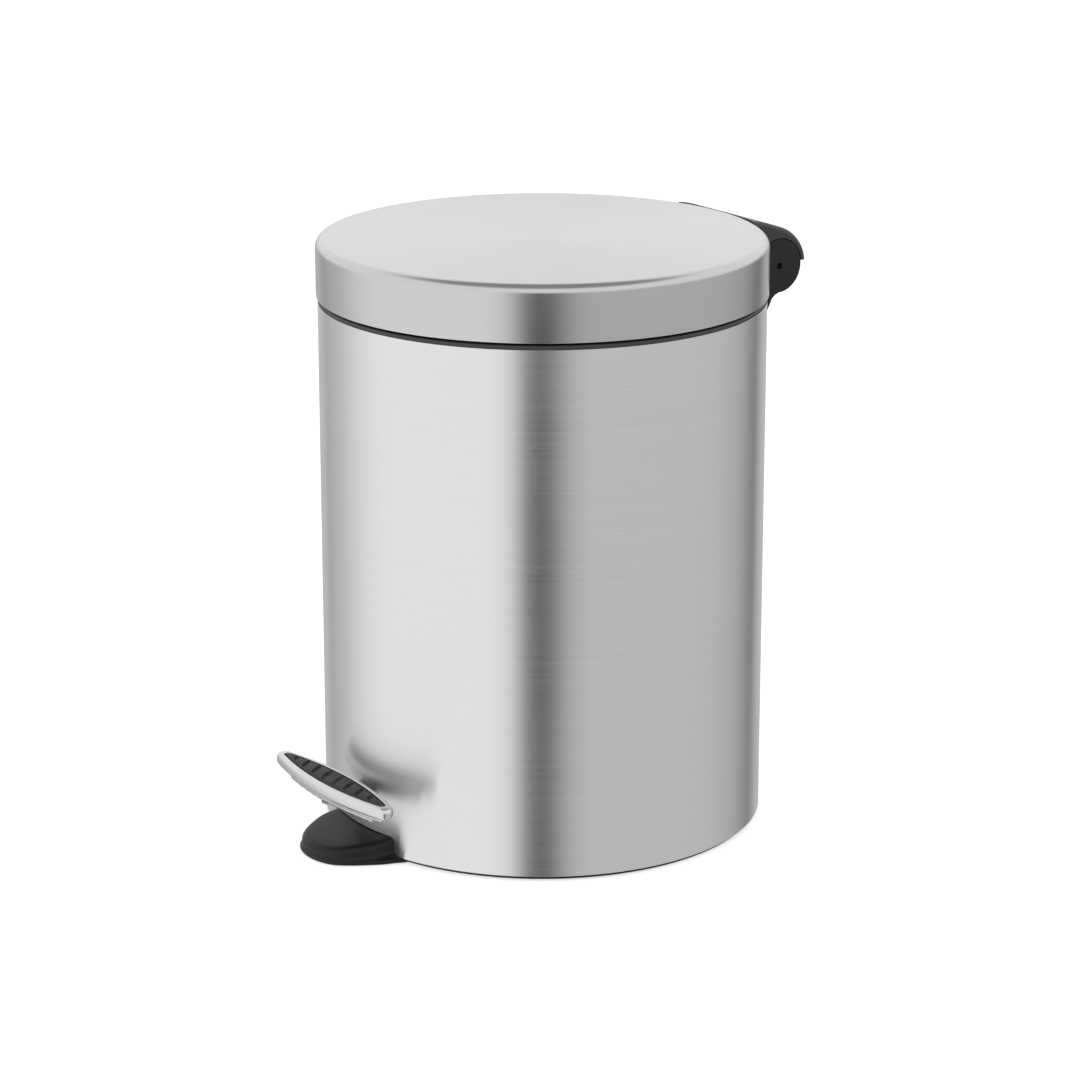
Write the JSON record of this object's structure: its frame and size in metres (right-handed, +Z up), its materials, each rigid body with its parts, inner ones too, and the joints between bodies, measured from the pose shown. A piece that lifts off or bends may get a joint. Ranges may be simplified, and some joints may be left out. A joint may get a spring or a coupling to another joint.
{
  "type": "pedal bin",
  "caption": "Round steel pedal bin with a hinged lid, a foot pedal, a push rod that lifts the lid and a removable inner bucket.",
  "frame": {"origin": "middle of the round body on the floor, which is also the middle of the outer box's base", "axes": "+Z up, -Y to the front where the pedal is, +Y to the lid hinge, X across"},
  "size_m": [0.205, 0.2582, 0.2715],
  "materials": {
    "satin_steel": "satin stainless sheet with a fine grain round the body",
    "polished_steel": "polished stainless pressing",
    "zinc_steel": "zinc plated wire and strip",
    "black_plastic": "fine moulded texture, slightly glossy",
    "bucket_plastic": "plain moulded polypropylene",
    "black_rubber": "moulded rubber"
  },
  "bodies": {
    "bin": {"body_shell": "satin_steel", "base_ring": "black_plastic", "rubber_feet": "black_rubber", "top_rim": "black_plastic", "hinge_housing": "black_plastic", "housing_screws": "zinc_steel", "hinge_pin": "zinc_steel", "lever_axle": "zinc_steel", "axle_clips": "zinc_steel"},
    "lid": {"lid_shell": "satin_steel", "lid_liner": "black_plastic", "hinge_cover": "black_plastic", "cover_screws": "zinc_steel", "lift_bracket": "zinc_steel", "lift_pin": "zinc_steel", "bracket_screws": "zinc_steel", "lid_bumpers": "black_rubber"},
    "pedal": {"pedal_cup": "polished_steel", "pedal_pad": "black_rubber", "pedal_rivets": "zinc_steel", "pedal_lever": "zinc_steel", "rear_pin": "zinc_steel"},
    "rod": {"push_rod": "zinc_steel", "rod_top_eye": "zinc_steel", "rod_bottom_eye": "zinc_steel"},
    "bucket": {"inner_bucket": "bucket_plastic"},
    "bail": {"bail_wire": "zinc_steel", "bail_grip": "bucket_plastic"}
  },
  "joints": [
    {"name": "lid_hinge", "type": "hinge", "parent": "bin", "child": "lid", "pos_m": [0, 0.113, 0.2487], "axis": [-1, 0, 0], "range_deg": [0, 75]},
    {"name": "pedal_hinge", "type": "hinge", "parent": "bin", "child": "pedal", "pos_m": [0, -0.05, 0.021], "axis": [1, 0, 0], "range_deg": [0, 9.62]},
    {"name": "push_rod_slide", "type": "slide", "parent": "bin", "child": "rod", "axis": [0, 0, 1], "range_m": [0, 0.02436]},
    {"name": "bucket_lift", "type": "slide", "parent": "bin", "child": "bucket", "axis": [0, 0, 1], "range_m": [0, 0.008]},
    {"name": "bail_hinge", "type": "hinge", "parent": "bucket", "child": "bail", "pos_m": [0, 0, 0.247], "axis": [-1, 0, 0], "range_deg": [0, 7]}
  ],
  "couplings": [
    {"joint": "pedal_hinge", "follows": "lid_hinge", "ratio": 0.12815},
    {"joint": "push_rod_slide", "follows": "lid_hinge", "m_per_rad": 0.018602}
  ]
}
